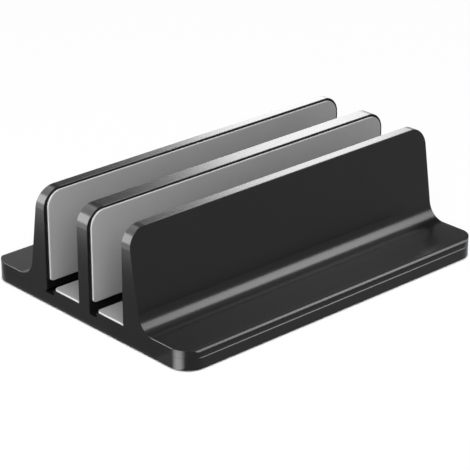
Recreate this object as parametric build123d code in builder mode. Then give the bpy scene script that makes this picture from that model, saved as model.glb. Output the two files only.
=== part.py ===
from build123d import *
from math import radians, tan
import os

# Vertical stand for two laptops, in millimetres.
# X runs across the slots, Y along them, Z up from the desk. The origin is on the desk, under the middle.

# Overall size
length = 200.0  # along the slots
width = 147.5  # over both wings
height = 60.3  # from the desk to the top of the uprights
corner_radius = 11.0  # plan corners of the base plate and the wings
top_radius = 10.0  # top corners of the uprights, seen from the side
edge_break = 0.2  # broken edges of the uprights and the base plate's underside

# Base plate
stand_off = 0.6  # the plate rides this high on its foot pads
plate_thickness = 6.2
plate_chamfer = 0.5  # bevel along the upper edges of the plate's long sides, under the seam

# Middle upright, slots and foot plates
slot_width = 25.0  # bare width of each slot, metal to metal
middle_thickness = 8.0
foot_thickness = 2.7  # thin plate that carries a slot's floor pad
floor_gap = 5.4  # open groove between a foot plate and the upright on its left
stop_clearance = 0.4  # what is left of the groove when a slot is at its narrowest
running_gap = 0.1  # between what slides and what it slides on

# Outer uprights with their wings
top_thickness = 5.3  # of the outer uprights at their top
face_lean = 8.4  # degrees that the outer face leans out
root_radius = 10.0  # large hollow curve from the outer face into the wing
wing_thickness = 4.0
wing_edge_radius = 2.6  # soft upper edge along the wing
seam_chamfer = 0.2  # small bevel along the wing's lower edge, over the seam
heel_chamfer = 1.5  # relief at the left upright's inner bottom edge

# Silicone pads
pad_thickness = 1.2
pad_edge_break = 0.3
pad_end_border = 2.0  # bare metal at the ends of a side pad
pad_top_border = 1.3  # bare metal above a side pad
pad_floor_border = 3.0  # bare metal between a side pad and the foot plates' top
pad_low_radius = 1.5  # lower corners of a side pad
floor_pad_inset = 0.3  # at both ends of a floor pad
floor_pad_radius = 2.0  # corners of a floor pad on its groove side
foot_pad_length = 24.0
foot_pad_width = 12.0
foot_pad_radius = 3.0
foot_pad_inset = 7.0  # from the plate's sides
foot_pad_recess = 1.0  # depth of the pockets that hold the foot pads

# Fasteners
screw_length = 8.0
shank_radius = 1.9
head_radius = 3.8
head_height = 2.0
head_chamfer = 0.5
tip_chamfer = 0.4
socket_size = 2.5  # across the flats
socket_depth = 1.2
washer_radius = 4.5
washer_thickness = 0.8
washer_play = 0.2  # round the shank
pocket_depth = 3.4  # of the pockets that hide the heads
pocket_play = 0.4  # round the washers
shank_play = 0.3  # round the shanks, in the plate
thread_play = 0.1  # round the shanks, in the uprights
tip_room = 0.6  # beyond the tips of the screws
screw_side = 9.0  # from an outer upright's inner face to its screws
screw_end = 30.0  # from the ends of the stand to the screws

# Levels and places worked out from the sizes above
plate_top = stand_off + plate_thickness
slide_level = plate_top + running_gap
foot_top = plate_top + foot_thickness
wing_top = plate_top + wing_thickness
middle_face = middle_thickness / 2
inner_face = middle_face + slot_width
slide_travel = floor_gap - stop_clearance
screw_x = inner_face + screw_side
screw_y = length / 2 - screw_end
ledge = stand_off + pocket_depth
screw_rows = [(0, -screw_y), (0, screw_y)]
facing_down = (180, 0, 0)


def corner(sketch, x, z):
    """The outline's corner nearest to a point of the section."""
    return sketch.vertices().sort_by_distance((x, z))[0]


def round_upright_ends():
    """Cut the part in progress to the rounded top corners that the uprights share."""
    with BuildSketch(Plane.YZ) as side_view:
        Rectangle(length, height, align=(Align.CENTER, Align.MIN))
        fillet(side_view.vertices().group_by(Axis.Y)[-1], top_radius)
    extrude(side_view.sketch, amount=width, both=True, mode=Mode.INTERSECT)


def drill_threads(x, level, tip):
    """Blind holes for a pair of screws, drilled from below, ending just past the screws' tips."""
    with Locations(*[Location((x, y, level), facing_down) for _, y in screw_rows]):
        Hole(shank_radius + thread_play, depth=tip + tip_room - level)


def make_base_plate():
    """The plate that everything stands on, with pockets in its underside."""
    underside = Plane.XY.offset(stand_off)
    slide_centres = [
        (side * (screw_x - slide_travel / 2), y) for side in (-1, 1) for _, y in screw_rows
    ]
    with BuildPart() as base_plate:
        with BuildSketch(Plane.XZ) as section:
            with Locations((0, stand_off)):
                Rectangle(width, plate_thickness, align=(Align.CENTER, Align.MIN))
            chamfer(section.vertices().group_by(Axis.Y)[-1], plate_chamfer)
        extrude(amount=length / 2, both=True)
        with BuildSketch(underside):
            RectangleRounded(width, length, corner_radius)
        extrude(amount=plate_thickness, mode=Mode.INTERSECT)
        chamfer(base_plate.faces().sort_by(Axis.Z)[0].edges(), edge_break)
        # Long pockets and slots, in which the outer screws move with their uprights
        with BuildSketch(underside):
            with Locations(*slide_centres):
                SlotCenterToCenter(slide_travel, 2 * (washer_radius + pocket_play))
        extrude(amount=pocket_depth, mode=Mode.SUBTRACT)
        with BuildSketch(underside):
            with Locations(*slide_centres):
                SlotCenterToCenter(slide_travel, 2 * (shank_radius + shank_play))
        extrude(amount=plate_thickness, mode=Mode.SUBTRACT)
        # Round counterbored holes for the middle upright, which stays put
        with Locations(*[Location((x, y, stand_off), facing_down) for x, y in screw_rows]):
            CounterBoreHole(
                shank_radius + shank_play, washer_radius + pocket_play, pocket_depth, plate_thickness
            )
        # Shallow pockets for the foot pads
        with BuildSketch(underside):
            with Locations(*foot_pad_centres().values()):
                RectangleRounded(foot_pad_length, foot_pad_width, foot_pad_radius)
        extrude(amount=foot_pad_recess, mode=Mode.SUBTRACT)
    base_plate.part.label = "base_plate"
    return base_plate.part


def make_middle_upright():
    """The fixed upright, with the foot plate of the left slot."""
    with BuildPart() as middle_upright:
        with BuildSketch(Plane.XZ):
            with BuildLine():
                Polyline(
                    (floor_gap - inner_face, plate_top),
                    (floor_gap - inner_face, foot_top),
                    (-middle_face, foot_top),
                    (-middle_face, height),
                    (middle_face, height),
                    (middle_face, plate_top),
                    close=True,
                )
            make_face()
        extrude(amount=length / 2, both=True)
        round_upright_ends()
        faces = middle_upright.faces()
        sides = faces.filter_by(Axis.X).sort_by(SortBy.AREA)[-2:]
        upright_edges = sides.edges().filter_by(lambda edge: edge.center().Z > foot_top + edge_break)
        chamfer(upright_edges, edge_break)
        drill_threads(0, plate_top, ledge - washer_thickness + screw_length)
    middle_upright.part.label = "middle_upright"
    return middle_upright.part


def make_outer_upright(label, side):
    """A sliding upright with its wing. The right one also has the foot plate of its slot."""
    top_x = inner_face + top_thickness
    root_x = top_x + (height - wing_top) * tan(radians(face_lean))
    if side > 0:
        inner_points = [
            (middle_face + floor_gap, slide_level),
            (middle_face + floor_gap, foot_top),
            (inner_face, foot_top),
        ]
    else:
        inner_points = [(inner_face, slide_level)]
    outer_points = [
        (inner_face, height),
        (top_x, height),
        (root_x, wing_top),
        (width / 2, wing_top),
        (width / 2, slide_level),
    ]
    with BuildPart() as outer_upright:
        with BuildSketch(Plane.XZ) as section:
            with BuildLine():
                Polyline(*[(side * x, z) for x, z in inner_points + outer_points], close=True)
            make_face()
            fillet(corner(section, side * root_x, wing_top), root_radius)
            fillet(corner(section, side * width / 2, wing_top), wing_edge_radius)
            chamfer(corner(section, side * width / 2, slide_level), seam_chamfer)
            if side < 0:
                chamfer(corner(section, side * inner_face, slide_level), heel_chamfer)
        extrude(amount=length / 2, both=True)
        round_upright_ends()
        top = outer_upright.faces().sort_by(Axis.Z)[-1]
        chamfer(top.edges().filter_by(Axis.Y), edge_break)
        with BuildSketch(Plane.XY):
            RectangleRounded(width, length, corner_radius)
        extrude(amount=height, mode=Mode.INTERSECT)
        drill_threads(side * screw_x, slide_level, ledge - running_gap - washer_thickness + screw_length)
    outer_upright.part.label = label
    return outer_upright.part


def make_side_pad(label, face_x, facing):
    """A thin pad on one face of a slot, with corners that follow the upright's."""
    pad_length = length - 2 * pad_end_border
    pad_bottom = foot_top + pad_floor_border
    pad_top = height - pad_top_border
    with BuildPart() as side_pad:
        with BuildSketch(Plane.YZ.offset(face_x)) as outline:
            with Locations((0, pad_bottom)):
                Rectangle(pad_length, pad_top - pad_bottom, align=(Align.CENTER, Align.MIN))
            fillet(outline.vertices().group_by(Axis.Y)[-1], top_radius - pad_end_border)
            fillet(outline.vertices().group_by(Axis.Y)[0], pad_low_radius)
        extrude(amount=facing * pad_thickness)
        outside = side_pad.faces().filter_by(Axis.X).sort_by(Axis.X)[-1 if facing > 0 else 0]
        chamfer(outside.edges(), pad_edge_break)
    side_pad.part.label = label
    return side_pad.part


def make_floor_pad(label, groove_x):
    """A pad on a foot plate, from the groove up to the upright on its right."""
    pad_width = slot_width - floor_gap
    pad_length = length - 2 * floor_pad_inset
    with BuildPart() as floor_pad:
        with BuildSketch(Plane.XY.offset(foot_top)) as outline:
            with Locations((groove_x, 0)):
                Rectangle(pad_width, pad_length, align=(Align.MIN, Align.CENTER))
            fillet(outline.vertices().group_by(Axis.X)[0], floor_pad_radius)
        extrude(amount=pad_thickness)
        upper = floor_pad.faces().sort_by(Axis.Z)[-1]
        chamfer(upper.edges(), pad_edge_break)
    floor_pad.part.label = label
    return floor_pad.part


def foot_pad_centres():
    """Plan places of the four foot pads, by name."""
    x = width / 2 - foot_pad_inset - foot_pad_length / 2
    y = length / 2 - foot_pad_inset - foot_pad_width / 2
    return {
        "foot_pad_left_front": (-x, -y),
        "foot_pad_right_front": (x, -y),
        "foot_pad_left_back": (-x, y),
        "foot_pad_right_back": (x, y),
    }


def make_foot_pad(label, centre):
    """A pad set in a pocket of the plate's underside, resting on the desk."""
    with BuildPart() as foot_pad:
        with BuildSketch(Plane.XY):
            with Locations(centre):
                RectangleRounded(foot_pad_length, foot_pad_width, foot_pad_radius)
        extrude(amount=stand_off + foot_pad_recess)
        chamfer(foot_pad.faces().sort_by(Axis.Z)[0].edges(), pad_edge_break)
    foot_pad.part.label = label
    return foot_pad.part


def make_washers(label, x, seat):
    """The pair of washers under the heads of one upright's screws."""
    with BuildPart() as washers:
        with BuildSketch(Plane((x, 0, seat - washer_thickness))):
            with Locations(*screw_rows):
                Circle(washer_radius)
                Circle(shank_radius + washer_play, mode=Mode.SUBTRACT)
        extrude(amount=washer_thickness)
    washers.part.label = label
    return washers.part


def make_screws(label, x, seat):
    """The pair of low-head socket screws that hold one upright from below."""
    head_plane = Plane((x, 0, seat - washer_thickness - head_height))
    with BuildPart() as screws:
        with BuildSketch(head_plane):
            with Locations(*screw_rows):
                Circle(head_radius)
        extrude(amount=head_height)
        chamfer(screws.edges().group_by(Axis.Z)[0], head_chamfer)
        with BuildSketch(head_plane.offset(head_height)):
            with Locations(*screw_rows):
                Circle(shank_radius)
        extrude(amount=screw_length)
        chamfer(screws.edges().group_by(Axis.Z)[-1], tip_chamfer)
        with BuildSketch(head_plane):
            with Locations(*screw_rows):
                RegularPolygon(socket_size / 2, 6, major_radius=False)
        extrude(amount=socket_depth, mode=Mode.SUBTRACT)
    screws.part.label = label
    return screws.part


def make_all():
    """Every piece of the stand, in its place."""
    pieces = [
        make_base_plate(),
        make_middle_upright(),
        make_outer_upright("left_upright", -1),
        make_outer_upright("right_upright", 1),
        make_side_pad("left_upright_pad", -inner_face, 1),
        make_side_pad("middle_left_pad", -middle_face, -1),
        make_side_pad("middle_right_pad", middle_face, 1),
        make_side_pad("right_upright_pad", inner_face, -1),
        make_floor_pad("left_slot_floor_pad", floor_gap - inner_face),
        make_floor_pad("right_slot_floor_pad", middle_face + floor_gap),
    ]
    for label, centre in foot_pad_centres().items():
        pieces.append(make_foot_pad(label, centre))
    for name, x, seat in (
        ("left", -screw_x, ledge - running_gap),
        ("middle", 0, ledge),
        ("right", screw_x, ledge - running_gap),
    ):
        pieces.append(make_washers(name + "_washers", x, seat))
        pieces.append(make_screws(name + "_screws", x, seat))
    return pieces


os.makedirs("parts", exist_ok=True)
for piece in make_all():
    export_step(piece, "parts/" + piece.label + ".step")
    print(piece.label, round(piece.volume / 1000, 2), "cubic centimetres")
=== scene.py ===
# %% [markdown]
# # A vertical laptop stand
#
# The stand holds two closed laptops on their long edges, side by side. Three black uprights rise
# from a base plate: the middle one is fixed, and the outer two slide with their wings to set the
# width of each slot. Grey silicone lines the slots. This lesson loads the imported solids, gives
# every surface its finish and swaps the soft and threaded pieces for finer meshes. The plate, the
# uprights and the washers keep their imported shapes, which are exact.

import bmesh
import bpy
from math import cos, pi, radians, sin
from mathutils import Matrix, Vector


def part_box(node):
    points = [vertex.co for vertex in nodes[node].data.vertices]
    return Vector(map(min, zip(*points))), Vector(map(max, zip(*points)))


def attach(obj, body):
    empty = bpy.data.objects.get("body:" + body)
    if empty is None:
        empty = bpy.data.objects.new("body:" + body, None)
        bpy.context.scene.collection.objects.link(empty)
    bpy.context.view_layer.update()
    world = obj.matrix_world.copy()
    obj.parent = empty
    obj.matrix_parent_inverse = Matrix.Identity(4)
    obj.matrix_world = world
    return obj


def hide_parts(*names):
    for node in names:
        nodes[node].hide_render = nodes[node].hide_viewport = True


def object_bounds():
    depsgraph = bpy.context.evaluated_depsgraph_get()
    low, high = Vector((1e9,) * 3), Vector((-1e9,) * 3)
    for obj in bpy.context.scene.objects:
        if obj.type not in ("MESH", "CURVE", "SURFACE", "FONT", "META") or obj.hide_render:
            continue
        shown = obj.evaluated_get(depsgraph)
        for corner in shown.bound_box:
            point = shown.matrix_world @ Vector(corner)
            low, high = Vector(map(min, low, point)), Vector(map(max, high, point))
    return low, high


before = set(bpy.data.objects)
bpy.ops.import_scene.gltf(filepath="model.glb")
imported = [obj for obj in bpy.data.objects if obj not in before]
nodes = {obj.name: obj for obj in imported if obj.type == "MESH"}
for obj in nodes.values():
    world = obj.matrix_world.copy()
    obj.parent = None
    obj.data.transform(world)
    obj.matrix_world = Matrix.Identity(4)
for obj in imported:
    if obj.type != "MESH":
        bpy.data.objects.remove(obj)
cad_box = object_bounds()
mm = 0.001
print("nodes:", len(nodes), "size in mm:", [round(v / mm, 1) for v in cad_box[1] - cad_box[0]])

# %% [markdown]
# ## Camera
#
# The photograph looks down at the stand's front right corner from a little over a metre away, with
# a long lens, so that lines run nearly parallel. The eye point, the two angles and the lens were
# fitted together to the stand's edges in the picture. They belong together: a shorter lens would
# need a nearer eye, and the far end would then shrink more than it does.

# %% Camera
bpy.context.scene.view_settings.view_transform = "Standard"

eye = Vector((0.7075, -0.6515, 0.4438))
camera_turn = radians(47.439)  # to the left, from looking along +Y
camera_dip = radians(23.934)
sensor_width = 36  # in mm, like the lens
camera_lens = 158.72

camera_data = bpy.data.cameras.new("photo_camera")
camera_data.sensor_width = sensor_width
camera_data.lens = camera_lens
camera = bpy.data.objects.new("photo_camera", camera_data)
camera.location = eye
camera.rotation_euler = (pi / 2 - camera_dip, 0, camera_turn)
bpy.context.scene.collection.objects.link(camera)
bpy.context.scene.camera = camera
print("eye to the origin:", round(eye.length, 3), "m")

# %% [markdown]
# ## Node helpers
#
# Every finish here is a small network of nodes. Making a node, setting its fields and wiring its
# inputs takes several lines each time, so one helper does it. It takes either plain values or
# other nodes' outputs as inputs, which keeps each material readable as a recipe. Sums, ranges and
# plain glows are made so often that they get helpers of their own.


# %% Nodes and sums
def add_node(tree, kind, inputs=None, **fields):
    """A new node in the tree. An input is given a plain value or another node's output."""
    node = tree.nodes.new(kind)
    for name, value in fields.items():
        setattr(node, name, value)
    for key, value in (inputs or {}).items():
        if isinstance(value, bpy.types.NodeSocket):
            tree.links.new(value, node.inputs[key])
        else:
            node.inputs[key].default_value = value
    return node


def calculate(tree, operation, *values):
    """The result of a sum. Each value is a number or another node's output."""
    inputs = dict(enumerate(values))
    return add_node(tree, "ShaderNodeMath", inputs, operation=operation).outputs[0]


def calculate_vector(tree, operation, *values):
    """The result of a vector sum: a vector, or a number where the operation gives one."""
    inputs = dict(enumerate(values))
    node = add_node(tree, "ShaderNodeVectorMath", inputs, operation=operation)
    gives_number = operation in ("LENGTH", "DOT_PRODUCT")
    return node.outputs["Value" if gives_number else "Vector"]


def spread(tree, value, low, high, start=0.3, end=0.7):
    """A value moved from one range to another. Most of a noise lies between 0.3 and 0.7."""
    inputs = {"Value": value, "From Min": start, "From Max": end, "To Min": low, "To Max": high}
    return add_node(tree, "ShaderNodeMapRange", inputs).outputs["Result"]


print("helpers: add_node, calculate, calculate_vector, spread")


# %% Materials and glows
def grey(level, blue=1.0):
    """A neutral colour with full alpha. Its blue can be a little stronger than the rest."""
    return (level, level, level * blue, 1)


def new_material(name):
    """An empty material, its node tree and the input that takes its shader."""
    material = bpy.data.materials.new(name)
    material.use_nodes = True
    tree = material.node_tree
    tree.nodes.clear()
    output = add_node(tree, "ShaderNodeOutputMaterial")
    return material, tree, output.inputs["Surface"]


def plain_glow(tree, strength=1.0):
    """White light of an even strength, which nothing shades."""
    inputs = {"Color": grey(1), "Strength": strength}
    return add_node(tree, "ShaderNodeEmission", inputs).outputs[0]


def seen_directly(tree):
    """1 for the camera and for reflections, 0 for the light that a surface gives to others."""
    ray = add_node(tree, "ShaderNodeLightPath")
    return calculate(tree, "MAXIMUM", ray.outputs["Is Camera Ray"], ray.outputs["Is Glossy Ray"])


print("helpers: grey, new_material, plain_glow, seen_directly")

# %% [markdown]
# ## Floor
#
# The stand is shown on a white sheet that runs into a white background. A lit floor never renders
# as pure white by itself, so the camera, and anything glossy, sees mostly a plain white glow of
# strength 1 mixed over the lit surface. What is left of the lit surface keeps the soft shadow.
# Under the plate the glow stops, because there the sheet is dark: the stand rests on thin feet,
# and the gap draws the black line along its lower edge. The plate's outline is found by folding
# the sheet's coordinates into one quarter and measuring from the centre of the plate's corner.

# %% Floor
floor_size = 12.0

floor_mesh = bpy.data.meshes.new("floor")
bm = bmesh.new()
bmesh.ops.create_grid(bm, x_segments=1, y_segments=1, size=floor_size / 2)
bm.to_mesh(floor_mesh)
bm.free()
floor = bpy.data.objects.new("floor", floor_mesh)
bpy.context.scene.collection.objects.link(floor)
print("floor:", floor_size, "m across")

# %% Floor material
paper_white = 0.8
floor_glow = 0.92  # share of the plain glow over the lit paper
plan_half = Vector((cad_box[1].x, cad_box[1].y, 0))
plan_corner = 11.0 * mm  # radius of the plate's corners
dark_fade = 0.4 * mm  # just outside the plate, the glow comes back over this width

floor_material, tree, surface = new_material("white_sheet")
place = add_node(tree, "ShaderNodeTexCoord")
folded = calculate_vector(tree, "ABSOLUTE", place.outputs["Object"])
corner_centre = plan_half - Vector((plan_corner, plan_corner, 0))
past_centre = calculate_vector(tree, "SUBTRACT", folded, corner_centre)
past_centre = calculate_vector(tree, "MAXIMUM", past_centre, (0, 0, 0))
distance = calculate_vector(tree, "LENGTH", past_centre)
outside = spread(tree, distance, 0.0, floor_glow, start=plan_corner, end=plan_corner + dark_fade)
share = calculate(tree, "MULTIPLY", seen_directly(tree), outside)
paper = add_node(tree, "ShaderNodeBsdfDiffuse", {"Color": grey(paper_white)})
mixed = add_node(tree, "ShaderNodeMixShader", {0: share, 1: paper.outputs[0], 2: plain_glow(tree)})
tree.links.new(mixed.outputs[0], surface)
floor_mesh.materials.append(floor_material)
print("sheet: dark within", [round(v / mm, 1) for v in plan_half], "of the middle, in mm")

# %% [markdown]
# ## World
#
# The room around the stand is plain white. The camera and the glossy metal see it at full white,
# while it lights the stand more gently, so that the lamps still shape the surfaces. One background
# for both would either grey the picture's ground or flatten the stand.

# %% World
room_light = 0.7

world = bpy.data.worlds.new("studio")
bpy.context.scene.world = world
world.use_nodes = True
tree = world.node_tree
tree.nodes.clear()
room = add_node(tree, "ShaderNodeBackground", {"Color": grey(1), "Strength": room_light})
white = add_node(tree, "ShaderNodeBackground", {"Color": grey(1), "Strength": 1.0})
layers = {0: seen_directly(tree), 1: room.outputs[0], 2: white.outputs[0]}
mixed = add_node(tree, "ShaderNodeMixShader", layers)
add_node(tree, "ShaderNodeOutputWorld", {"Surface": mixed.outputs[0]})
print("world: lights at", room_light)

# %% [markdown]
# ## Lamps
#
# Black satin metal shows almost nothing of its own colour. What the eye reads as its shape is the
# picture of the lamps in it, so each lamp here is placed by the highlight that it makes. The
# dark-to-white run along the uprights' tops is the slanted edge of a bright panel behind the stand
# on the left, and a dimmer panel below it keeps the tops' round far ends light. The glow in the
# hollow root of the wing is a long box over the back right corner. The uprights' round near ends
# mirror three boards on the left: a low one, a bright one above it and a high one farther off. A
# broad fill from above right and a small one from the front reach down into the slots to the pads.
# The panels, the box and the boards give no diffuse light, so that the pads and the floor stay
# evenly lit, and the small fill makes no highlight.


# %% Lamps behind the stand
def add_soft_box(name, place, target, size, radiance, along=(0, 0, 1), shows_in="all"):
    """A rectangular lamp that faces a target. The first side of its size lies along a direction."""
    facing = (Vector(place) - Vector(target)).normalized()
    first = Vector(along) - facing * facing.dot(Vector(along))
    first.normalize()
    second = facing.cross(first)
    turn = Matrix((first, second, facing)).transposed().to_4x4()
    lamp_data = bpy.data.lights.new(name, "AREA")
    lamp_data.shape = "RECTANGLE"
    lamp_data.size = size[0]
    lamp_data.size_y = size[1]
    lamp_data.energy = radiance * pi * size[0] * size[1]
    lamp = bpy.data.objects.new(name, lamp_data)
    lamp.matrix_world = Matrix.Translation(place) @ turn
    lamp.visible_camera = False
    lamp.visible_diffuse = shows_in != "gloss"
    lamp.visible_glossy = shows_in != "matt"
    bpy.context.scene.collection.objects.link(lamp)
    print(name, "energy", round(lamp_data.energy, 2), "W")


panel_slant = (0, 0.57, 0.82)

add_soft_box(
    "panel_behind_left",
    place=(-0.40, 0.450, 0.274),
    target=(0.0, 0.450, 0.274),
    size=(0.55, 0.176),
    radiance=8.9,
    along=panel_slant,
    shows_in="gloss",
)
add_soft_box(
    "dim_panel_behind_left",
    place=(-0.40, 0.530, 0.146),
    target=(0.0, 0.530, 0.146),
    size=(0.36, 0.102),
    radiance=2.8,
    along=panel_slant,
    shows_in="gloss",
)
add_soft_box(
    "box_over_back_right",
    place=(0.44, 0.56, 0.60),
    target=(0, 0, 0.01),
    size=(0.52, 0.34),
    radiance=16.4,
    along=(-0.83, 0, 0.56),
    shows_in="gloss",
)

# %% Fills
add_soft_box(
    "fill_from_above",
    place=(0.66, -0.54, 0.84),
    target=(0, 0, 0.03),
    size=(0.80, 0.80),
    radiance=6.6,
)
add_soft_box(
    "fill_into_slots",
    place=(0.40, -0.95, 0.30),
    target=(0, -0.08, 0.03),
    size=(0.50, 0.50),
    radiance=3.5,
    shows_in="matt",
)

# %% Boards on the left
add_soft_box(
    "low_board_front_left",
    place=(-0.105, -0.171, 0.024),
    target=(-0.105, 0.0, 0.024),
    size=(0.048, 0.17),
    radiance=5.0,
    shows_in="gloss",
)
add_soft_box(
    "bright_board_front_left",
    place=(-0.105, -0.171, 0.092),
    target=(-0.105, 0.0, 0.092),
    size=(0.084, 0.17),
    radiance=20.0,
    shows_in="gloss",
)
add_soft_box(
    "high_board_left",
    place=(-0.40, -0.19, 0.44),
    target=(0, -0.1, 0.06),
    size=(0.30, 0.50),
    radiance=5.0,
    along=(0.74, 0, 0.67),
    shows_in="gloss",
)

# %% [markdown]
# ## Corner card
#
# Cards finish the lighting, as a product photographer would set them. The first is bright. It lies
# on the sheet before the near corner and draws the upright stripe on it: it widens away from the
# stand, because lower points of the corner mirror nearer points of the card. It fades towards its
# sides, so that the faces beside the corner mirror a soft glow instead of an outline. A lamp has no
# such shape, so the card is a glowing mesh that only reflections show.


# %% Card helper
def add_card(name, corners, height):
    """A level card, from its corners and height in mm. It gives the tree and input for its paint."""
    mesh = bpy.data.meshes.new(name)
    bm = bmesh.new()
    bm.faces.new([bm.verts.new((x * mm, y * mm, height * mm)) for x, y in corners])
    bm.to_mesh(mesh)
    bm.free()
    material, tree, surface = new_material(name + "_paint")
    mesh.materials.append(material)
    card = bpy.data.objects.new(name, mesh)
    bpy.context.scene.collection.objects.link(card)
    card.visible_camera = False
    card.visible_diffuse = False
    card.visible_shadow = False
    card.visible_transmission = False
    print(name, "at", height, "mm, corners", [[round(v, 1) for v in corner] for corner in corners])
    return tree, surface


# %% Corner card
card_height = 0.2  # all lengths of the card in mm
card_near = -100.0  # Y of its end by the stand
card_far = -124.0  # Y of its other end
card_middle = 67.7  # X of its middle line
half_near = 2.8  # half its width at the near end
half_growth = 0.456  # how much that grows per mm
even_up_to = 0.4  # the glow is even up to this many half widths from the middle line
gone_at = 1.5  # and has died out at this many
card_strength = 18.5

reach_near = half_near * gone_at
reach_far = (half_near + half_growth * (card_near - card_far)) * gone_at
card_corners = (
    (card_middle - reach_near, card_near),
    (card_middle - reach_far, card_far),
    (card_middle + reach_far, card_far),
    (card_middle + reach_near, card_near),
)
tree, surface = add_card("corner_card", card_corners, card_height)
place = add_node(tree, "ShaderNodeTexCoord")
spot = add_node(tree, "ShaderNodeSeparateXYZ", {0: place.outputs["Object"]})
aside = calculate(tree, "SUBTRACT", spot.outputs["X"], card_middle * mm)
aside = calculate(tree, "ABSOLUTE", aside)
half_at_origin = (half_near + half_growth * card_near) * mm
half_width = calculate(tree, "MULTIPLY_ADD", spot.outputs["Y"], -half_growth, half_at_origin)
off_middle = calculate(tree, "DIVIDE", aside, half_width)
glow_here = spread(tree, off_middle, card_strength, 0.0, start=even_up_to, end=gone_at)
tree.links.new(plain_glow(tree, glow_here), surface)

# %% [markdown]
# ## Flags and shade
#
# The other cards take light away from what the metal mirrors. A dim flag behind the far end keeps
# the bright panel out of the wing's far corner. A black one up on the left hides a part of the
# panel from the near ends of the uprights' tops, which are dark in the photograph. A shade on the
# sheet dims the white that the front faces mirror. They change no shadow and no diffuse light.

# %% Flags and shade
far_end_flag = ((-80, 102), (33, 102), (50, 115), (50, 175), (-80, 175))  # in mm, like the heights
near_tops_flag = ((-310, 20), (-200, 20), (-200, 166), (-310, 150))
front_shade = ((-170, -102), (50, -102), (50, -185), (-170, -185))

far_end_glow = 0.12  # of the sheet's own white
near_tops_glow = 0.0
front_glow = 0.6

for name, corners, height, glow in (
    ("far_end_flag", far_end_flag, 40, far_end_glow),
    ("near_tops_flag", near_tops_flag, 200, near_tops_glow),
    ("front_shade", front_shade, 0.1, front_glow),
):
    tree, surface = add_card(name, corners, height)
    tree.links.new(plain_glow(tree, glow), surface)

# %% [markdown]
# ## Black metal
#
# The uprights and the base plate are aluminium, blasted with fine beads and anodised black. The
# blasting leaves dimples a few tenths of a millimetre across, which spread each highlight. The dye
# sits in a clear oxide layer, so the metal acts like a dark glossy solid rather than like a
# mirror: a nearly black base with a weak clear reflection. The broken edges get a painted
# highlight, a slightly paler tone, and rub a little duller, and the Bevel node finds them: where
# the rounded normal that it looks up differs from the plain one, an edge is near. A painted map of
# the edges would not follow the solids as they change.


# %% Helpers for finishes
def noise_on_object(tree, scale, detail=2.0, roughness=0.5):
    """Noise that is fixed to the object. The scale is in cells per metre."""
    place = add_node(tree, "ShaderNodeTexCoord")
    inputs = {
        "Vector": place.outputs["Object"],
        "Scale": scale,
        "Detail": detail,
        "Roughness": roughness,
    }
    return add_node(tree, "ShaderNodeTexNoise", inputs).outputs["Fac"]


def mix_colours(tree, share, low, high):
    """The colour that lies between two others, by a share from 0 to 1."""
    first_colour = 6  # the numbers of the colour mode's sockets
    second_colour = 7
    colour_result = 2
    inputs = {"Factor": share, first_colour: low, second_colour: high}
    return add_node(tree, "ShaderNodeMix", inputs, data_type="RGBA").outputs[colour_result]


def add_bump(tree, height, strength, depth):
    """The surface's normal, tilted as if the height stood out of it."""
    inputs = {"Height": height, "Strength": strength, "Distance": depth}
    return add_node(tree, "ShaderNodeBump", inputs).outputs["Normal"]


def paint(tree, surface, tone, roughness, normal, specular=0.5, metallic=0.0):
    """Give a material its principled shader."""
    inputs = {
        "Base Color": tone,
        "Roughness": roughness,
        "Normal": normal,
        "Specular IOR Level": specular,
        "Metallic": metallic,
    }
    shader = add_node(tree, "ShaderNodeBsdfPrincipled", inputs)
    tree.links.new(shader.outputs[0], surface)


print("helpers: noise_on_object, mix_colours, add_bump, paint")


# %% Black metal
grain_scale = 2600.0
cloud_scale = 34.0
edge_patch_scale = 320.0
edge_radius = 0.35 * mm
on_edge = 0.80  # how alike the two normals are on an edge, where 1 is equal
off_edge = 0.99  # and on a flat face
dark_dye = (0.0032, 0.0032, 0.0035, 1)
pale_dye = (0.0056, 0.0056, 0.0060, 1)
# painted highlight: a paler tone along the edges, for light that catches them
painted_edge_highlight_tone = (0.010, 0.010, 0.0105, 1)
least_edge_highlight_and_wear = 0.25  # of an edge where the patches are faintest
smooth_blast = 0.20  # roughness between the dimples, and in them
rough_blast = 0.27
worn_dulling = 0.06  # what wear adds to the roughness
oxide_gloss = 0.165

black_metal, tree, surface = new_material("black_metal_finish")
grain = noise_on_object(tree, grain_scale, roughness=0.6)
cloud = noise_on_object(tree, cloud_scale, detail=3.0, roughness=0.55)
edge_patches = noise_on_object(tree, edge_patch_scale, detail=3.0, roughness=0.6)

rounded = add_node(tree, "ShaderNodeBevel", {"Radius": edge_radius}, samples=4).outputs["Normal"]
plain = add_node(tree, "ShaderNodeNewGeometry").outputs["Normal"]
same_way = calculate_vector(tree, "DOT_PRODUCT", rounded, plain)
near_edge = spread(tree, same_way, 1.0, 0.0, start=on_edge, end=off_edge)
# where the edges get their painted highlight and their wear
edge_highlight_and_wear = calculate(tree, "MULTIPLY", near_edge, spread(tree, edge_patches, least_edge_highlight_and_wear, 1.0))

tone = mix_colours(tree, cloud, dark_dye, pale_dye)
# painted highlight: the tone turns paler near the edges
tone = mix_colours(tree, edge_highlight_and_wear, tone, painted_edge_highlight_tone)
blasted = spread(tree, grain, smooth_blast, rough_blast)
gloss = calculate(tree, "MULTIPLY_ADD", edge_highlight_and_wear, worn_dulling, blasted)
dimples = add_bump(tree, grain, strength=0.06, depth=0.02 * mm)
paint(tree, surface, tone, gloss, dimples, specular=oxide_gloss)
print("black metal:", len(tree.nodes), "nodes")

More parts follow.
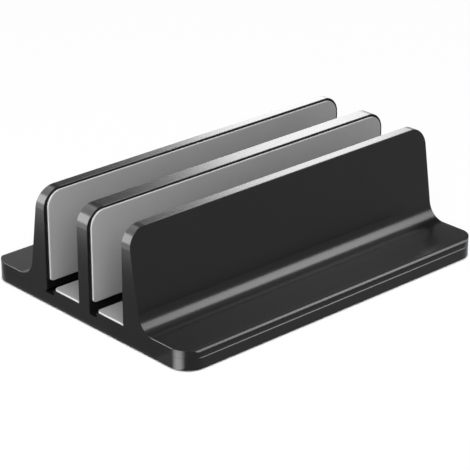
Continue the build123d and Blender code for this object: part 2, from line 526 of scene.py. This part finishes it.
# %% [markdown]
# ## Grey silicone
#
# The pads are strips of mid-grey silicone sheet, matt on their broad faces, with the faint mottle
# of a moulded sheet. Their cut sides are made a little glossier and painted much paler, as painted
# light that stands in for the light falling on them, and this draws a light line round every pad.
# So the sheet and its painted cut sides are two materials. A pale line found by an edge mask would
# also bleed onto the broad faces.

# %% Grey silicone
skin_scale = 1800.0
mottle_scale = 30.0
faint_blue = 1.015
skin_drift = 0.05  # of the roughness, either way


def make_silicone(name, low, high, roughness):
    """Silicone whose tone drifts between two levels, with a fine matt skin."""
    material, tree, surface = new_material(name)
    skin = noise_on_object(tree, skin_scale)
    mottle = noise_on_object(tree, mottle_scale)
    tone = mix_colours(tree, mottle, grey(low, faint_blue), grey(high, faint_blue))
    gloss = spread(tree, skin, roughness - skin_drift, roughness + skin_drift)
    texture = add_bump(tree, skin, strength=0.1, depth=0.03 * mm)
    paint(tree, surface, tone, gloss, texture, specular=0.3)
    return material


silicone_sheet = make_silicone("silicone_sheet", low=0.205, high=0.235, roughness=0.62)
# painted light: the cut sides' pale tone stands in for light falling on them
silicone_painted_light_edge = make_silicone("silicone_painted_light_edge", low=0.60, high=0.72, roughness=0.5)
print("silicone:", silicone_sheet.name, silicone_painted_light_edge.name)

# %% [markdown]
# ## Strips with rounded corners
#
# Side pads, floor pads and foot pads are all flat strips with rounded corners and a softened rim.
# One helper makes them: a square from create_grid is scaled to the strip's size, its corners are
# bevelled as vertices, the face is extruded to its thickness, and the rim of the showing face is
# bevelled as edges. The strip is made lying flat, and a matrix then stands it up on its wall, so
# that the same few steps serve every pad.

# %% Strip helper
corner_segments = 10
rim_segments = 3
tiny = 1e-7  # metres, for comparing places


def round_off(bm, parts, reach, segments, kind):
    """Bevel vertices or edges to a round shape."""
    bmesh.ops.bevel(
        bm, geom=parts, offset=reach, segments=segments, profile=0.5, affect=kind, material=-1
    )


def only_verts(parts):
    """The vertices among the parts that a bmesh operator gives back."""
    return [part for part in parts if isinstance(part, bmesh.types.BMVert)]


def highest_face(bm):
    """The face whose middle lies highest."""
    return max(bm.faces, key=lambda face: face.calc_center_median().z)


def make_strip(length, width, thickness, corner_radii, rim):
    """A flat strip on XY, from z = 0 up. Corner radii: those at y low, then those at y high."""
    bm = bmesh.new()
    bmesh.ops.create_grid(bm, x_segments=1, y_segments=1, size=0.5)  # one metre wide, to be scaled
    bmesh.ops.scale(bm, vec=(length, width, 1), verts=bm.verts)
    for radius, side in zip(corner_radii, (-1, 1)):
        corners = [v for v in bm.verts if abs(abs(v.co.x) - length / 2) < tiny]
        corners = [v for v in corners if abs(v.co.y - side * width / 2) < tiny]
        if radius > 0:
            round_off(bm, corners, radius, corner_segments, "VERTICES")
    raised = bmesh.ops.extrude_face_region(bm, geom=bm.faces[:], use_keep_orig=True)
    bmesh.ops.translate(bm, vec=(0, 0, thickness), verts=only_verts(raised["geom"]))
    bmesh.ops.recalc_face_normals(bm, faces=bm.faces)
    round_off(bm, list(highest_face(bm).edges), rim, rim_segments, "EDGES")
    return bm


print("strips: corners in", corner_segments, "segments, rims in", rim_segments)


# %% Piece helpers
cut_face_limit = 0.1  # the upright part of a face's normal, below which the face is a cut side
flat_face_limit = 0.9  # and above which it is one of the two broad faces


def paint_cut_edges(bm):
    """The second material, painted pale as light on them, goes on the cut sides. Only the two broad
    faces are flat shaded.
    """
    for face in bm.faces:
        upright_part = abs(face.normal.z)
        face.material_index = 1 if upright_part < cut_face_limit else 0
        face.smooth = upright_part <= flat_face_limit


def finish_piece(bm, name, replaced, body, materials, stand=None):
    """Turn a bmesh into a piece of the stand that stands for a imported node."""
    if stand is not None:
        bmesh.ops.transform(bm, matrix=stand, verts=bm.verts)
    mesh = bpy.data.meshes.new(name)
    bm.to_mesh(mesh)
    bm.free()
    for material in materials:
        mesh.materials.append(material)
    piece = bpy.data.objects.new(name, mesh)
    bpy.context.scene.collection.objects.link(piece)
    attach(piece, body)
    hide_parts(replaced)
    print(name, len(mesh.polygons), "faces")
    return piece


def place_matrix(first, second, third, origin):
    """A matrix that takes X, Y and Z to three directions, and the origin to a point."""
    turn = Matrix((first, second, third)).transposed().to_4x4()
    return Matrix.Translation(origin) @ turn


print("helpers: paint_cut_edges, finish_piece, place_matrix")

# %% [markdown]
# ## Side pads
#
# Each slot has a pad on both walls. A pad's upper corners follow the uprights' round ends, its lower
# ones are almost square, and a border of bare metal stays round it. The pad's size and place come
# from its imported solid, so that it sits exactly where the solid does. A new mesh is made because the
# packed one has a sharp rim and no separate cut edge.

# %% Side pads
pad_rim = 0.3 * mm
side_pad_radii = (1.5 * mm, 8.0 * mm)  # of the lower corners, and of the upper ones
silicone = (silicone_sheet, silicone_painted_light_edge)

for node, body, facing in (
    ("left_upright_pad", "left_slider", 1),
    ("middle_left_pad", "base", -1),
    ("middle_right_pad", "base", 1),
    ("right_upright_pad", "right_slider", -1),
):
    low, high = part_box(node)
    size = high - low
    bm = make_strip(size.y, size.z, size.x, side_pad_radii, pad_rim)
    paint_cut_edges(bm)
    on_wall = (low + high) / 2
    on_wall.x = low.x if facing > 0 else high.x
    stand = place_matrix((0, facing, 0), (0, 0, 1), (facing, 0, 0), on_wall)
    finish_piece(bm, node + "_strip", node, body, silicone, stand)

# %% [markdown]
# ## Floor pads
#
# A floor pad lies on each slot's foot plate, right up to the upright on its right. Its two corners
# on the groove side are rounded. The strip helper rounds the corners at low y, so the strip is made
# along X and turned a quarter: its low side then looks to the left, at the groove.

# %% Floor pads
floor_pad_radii = (2.0 * mm, 0)  # of the corners by the groove, and of those by the upright

for node, body in (("left_slot_floor_pad", "base"), ("right_slot_floor_pad", "right_slider")):
    low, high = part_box(node)
    size = high - low
    bm = make_strip(size.y, size.x, size.z, floor_pad_radii, pad_rim)
    paint_cut_edges(bm)
    on_plate = (low + high) / 2
    on_plate.z = low.z
    stand = place_matrix((0, -1, 0), (1, 0, 0), (0, 0, 1), on_plate)
    finish_piece(bm, node + "_strip", node, body, silicone, stand)

# %% [markdown]
# ## Foot pads
#
# Four black rubber pads sit in shallow pockets in the plate's underside and keep the stand from
# sliding. Each has a ring-shaped groove moulded in its sole, made by two insets and one step
# inwards. Rubber is dull and slightly dusty, so one noise lifts both its tone and its roughness
# where the dust lies.

# %% Black rubber
dust_scale = 420.0
rubber_skin_scale = 2200.0
clean_rubber = (0.018, 0.018, 0.018, 1)
dusty_rubber = (0.040, 0.039, 0.038, 1)
clean_roughness = 0.65
dusty_roughness = 0.85

black_rubber, tree, surface = new_material("black_rubber_finish")
dust = noise_on_object(tree, dust_scale, detail=4.0, roughness=0.6)
skin = noise_on_object(tree, rubber_skin_scale)
tone = mix_colours(tree, dust, clean_rubber, dusty_rubber)
gloss = spread(tree, dust, clean_roughness, dusty_roughness)
texture = add_bump(tree, skin, strength=0.25, depth=0.04 * mm)
paint(tree, surface, tone, gloss, texture, specular=0.25)
print("black rubber:", len(tree.nodes), "nodes")


# %% Foot pads
foot_pad_radii = (3.0 * mm, 3.0 * mm)
groove_border = 1.6 * mm
groove_width = 0.9 * mm
groove_depth = 0.4 * mm


def sink_ring(bm):
    """Sink a ring-shaped groove into the highest face."""
    sole = highest_face(bm)
    bmesh.ops.inset_region(bm, faces=[sole], thickness=groove_border, use_even_offset=True)
    inner = bmesh.ops.inset_region(bm, faces=[sole], thickness=groove_width, use_even_offset=True)
    ring = inner["faces"]
    sunk = bmesh.ops.extrude_face_region(bm, geom=ring)
    bmesh.ops.translate(bm, vec=(0, 0, -groove_depth), verts=only_verts(sunk["geom"]))
    bmesh.ops.delete(bm, geom=[face for face in ring if face.is_valid], context="FACES")
    bmesh.ops.recalc_face_normals(bm, faces=bm.faces)


for corner in ("left_front", "right_front", "left_back", "right_back"):
    node = "foot_pad_" + corner
    low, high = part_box(node)
    size = high - low
    bm = make_strip(size.x, size.y, size.z, foot_pad_radii, pad_rim)
    sink_ring(bm)
    in_pocket = (low + high) / 2
    in_pocket.z = high.z
    stand = place_matrix((1, 0, 0), (0, -1, 0), (0, 0, -1), in_pocket)
    finish_piece(bm, node + "_sole", node, "base", (black_rubber,), stand)

# %% [markdown]
# ## Steel finishes
#
# The washers are zinc plated: pale metal whose plating is a little cloudy. The screws are blackened
# and oiled, so they are dark, metallic and a little uneven. Both are true metals, and the metallic
# setting makes their colour tint what they mirror. One helper serves both, since only their tones
# and their roughness differ.

# %% Steel finishes
plating_scale = 240.0
steel_grain_scale = 3000.0
cool_tint = 1.03


def make_steel(name, low, high, smooth, rough):
    """Metal whose tone and roughness drift between two levels."""
    material, tree, surface = new_material(name)
    cloud = noise_on_object(tree, plating_scale, detail=3.0, roughness=0.6)
    grain = noise_on_object(tree, steel_grain_scale)
    tone = mix_colours(tree, cloud, grey(low, cool_tint), grey(high, cool_tint))
    marks = add_bump(tree, grain, strength=0.15, depth=0.01 * mm)
    paint(tree, surface, tone, spread(tree, cloud, smooth, rough), marks, metallic=1.0)
    return material


plated_steel = make_steel("plated_steel_finish", low=0.50, high=0.60, smooth=0.22, rough=0.34)
blackened_steel = make_steel(
    "blackened_steel_finish", low=0.045, high=0.075, smooth=0.30, rough=0.42
)
print("steel:", plated_steel.name, blackened_steel.name)

# %% [markdown]
# ## Screws
#
# Six socket screws hold the uprights from below. A screw is a turned piece, so its body is spun:
# the head with its rounded rim, the neck, the core and the pointed tip are one line of edges. The
# hexagonal socket is a circle of six points in the head's face, bridged to its open ring and pushed
# in. The thread is a small ridge that climbs a fixed pitch with each turn, spun with a step upwards
# along the core. It is a mesh here because it is too fine for the solids.

# %% Screw sizes
head_radius = 3.8 * mm
head_height = 2.0 * mm
head_rim = 0.5 * mm
rim_angles = (0, 22.5, 45, 67.5, 90)  # degrees, from the head's face round to its side
screw_length = 8.0 * mm
core_radius = 1.62 * mm
crest_radius = 1.94 * mm
neck_height = 0.3 * mm
tip_length = 0.5 * mm
socket_radius = 2.5 * mm / 2 / cos(pi / 6)  # to the corners, from the size across the flats
socket_depth = 1.2 * mm
face_hole = 1.35 * socket_radius  # the head's spun face ends here, and the socket closes it
spin_steps = 24
print("screw:", round(2 * crest_radius / mm, 2), "mm thick,", round(screw_length / mm, 1), "mm long")


# %% Screw body
def spin_line(bm, points):
    """Turn a line of points in the XZ plane into a closed round body."""
    verts = [bm.verts.new((x, 0, z)) for x, z in points]
    edges = [bm.edges.new(pair) for pair in zip(verts, verts[1:])]
    bmesh.ops.spin(
        bm,
        geom=verts + edges,
        cent=(0, 0, 0),
        axis=(0, 0, 1),
        dvec=(0, 0, 0),
        angle=2 * pi,
        steps=spin_steps,
        use_merge=True,
    )
    bmesh.ops.remove_doubles(bm, verts=bm.verts, dist=tiny)


def add_socket(bm):
    """A hexagon bridged to the head's open ring, then pushed in and closed."""
    ring = [edge for edge in bm.edges if edge.is_boundary]
    made = bmesh.ops.create_circle(bm, cap_ends=False, segments=6, radius=socket_radius)
    hexagon = made["verts"]
    bmesh.ops.translate(bm, vec=(0, 0, -head_height), verts=hexagon)
    flats = [edge for edge in bm.edges if edge.verts[0] in hexagon and edge.verts[1] in hexagon]
    bmesh.ops.bridge_loops(bm, edges=ring + flats)
    walls = bmesh.ops.extrude_edge_only(bm, edges=flats)["geom"]
    deep = only_verts(walls)
    bmesh.ops.translate(bm, vec=(0, 0, socket_depth), verts=deep)
    bmesh.ops.contextual_create(bm, geom=deep)


def make_screw():
    """One screw, head down, with its shoulder at z = 0."""
    profile = [(face_hole, -head_height)]
    for angle in rim_angles:
        inwards = head_rim * (1 - sin(radians(angle)))
        upwards = head_rim * (1 - cos(radians(angle)))
        profile.append((head_radius - inwards, upwards - head_height))
    profile.append((head_radius, 0))
    profile.append((crest_radius, 0))
    profile.append((core_radius, neck_height))
    profile.append((core_radius, screw_length - tip_length))
    profile.append((core_radius - tip_length, screw_length))
    profile.append((0, screw_length))
    bm = bmesh.new()
    spin_line(bm, profile)
    add_socket(bm)
    bmesh.ops.recalc_face_normals(bm, faces=bm.faces)
    return bm


# %% Thread
thread_pitch = 0.7 * mm
thread_start = 0.7 * mm  # above the head's shoulder
ridge_width = 0.8 * thread_pitch
crest_low = 0.34 * thread_pitch
crest_high = 0.48 * thread_pitch
buried = 0.1 * mm  # how far the ridge's inner side lies inside the core
thread_room = screw_length - tip_length - thread_start
thread_turns = int((thread_room - thread_pitch) / thread_pitch)
print("thread:", thread_turns, "turns")


def add_thread(bm):
    """A ridge that winds up the screw's core."""
    inside = core_radius - buried
    ridge = (
        (inside, 0.0),
        (inside, ridge_width),
        (crest_radius, crest_high),
        (crest_radius, crest_low),
    )
    verts = [bm.verts.new((x, 0, z + thread_start)) for x, z in ridge]
    bmesh.ops.spin(
        bm,
        geom=[bm.faces.new(verts)],
        cent=(0, 0, 0),
        axis=(0, 0, 1),
        dvec=(0, 0, thread_pitch / spin_steps),
        angle=2 * pi * thread_turns,
        steps=spin_steps * thread_turns,
        use_merge=False,
    )
    open_edges = [edge for edge in bm.edges if edge.is_boundary]
    bmesh.ops.holes_fill(bm, edges=open_edges, sides=4)
    bmesh.ops.recalc_face_normals(bm, faces=bm.faces)


# %% Screws
sharp_angle = radians(30)

for node, body in (
    ("left_screws", "left_slider"),
    ("middle_screws", "base"),
    ("right_screws", "right_slider"),
):
    low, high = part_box(node)
    centre = (low + high) / 2
    pair = bmesh.new()
    for y in (low.y + head_radius, high.y - head_radius):
        screw = make_screw()
        add_thread(screw)
        bmesh.ops.translate(screw, vec=(centre.x, y, low.z + head_height), verts=screw.verts)
        loose = bpy.data.meshes.new("screw")
        screw.to_mesh(loose)
        screw.free()
        pair.from_mesh(loose)
        bpy.data.meshes.remove(loose)
    for face in pair.faces:
        face.smooth = True
    name = node + "_threaded"
    piece = finish_piece(pair, name, node, body, (blackened_steel,))
    piece.data.set_sharp_from_angle(angle=sharp_angle)

# %% [markdown]
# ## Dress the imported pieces
#
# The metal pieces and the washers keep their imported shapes, which are exact. Each only needs its
# finish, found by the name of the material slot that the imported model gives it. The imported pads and
# screws are dressed too, although their finer meshes stand in for them.

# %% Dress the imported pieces
finishes = {
    "black_metal": black_metal,
    "grey_silicone": silicone_sheet,
    "black_rubber": black_rubber,
    "plated_steel": plated_steel,
    "blackened_steel": blackened_steel,
}
for name, piece in nodes.items():
    slot_name = piece.data.materials[0].name
    piece.data.materials[0] = finishes[slot_name]
    print(name, "wears", slot_name)
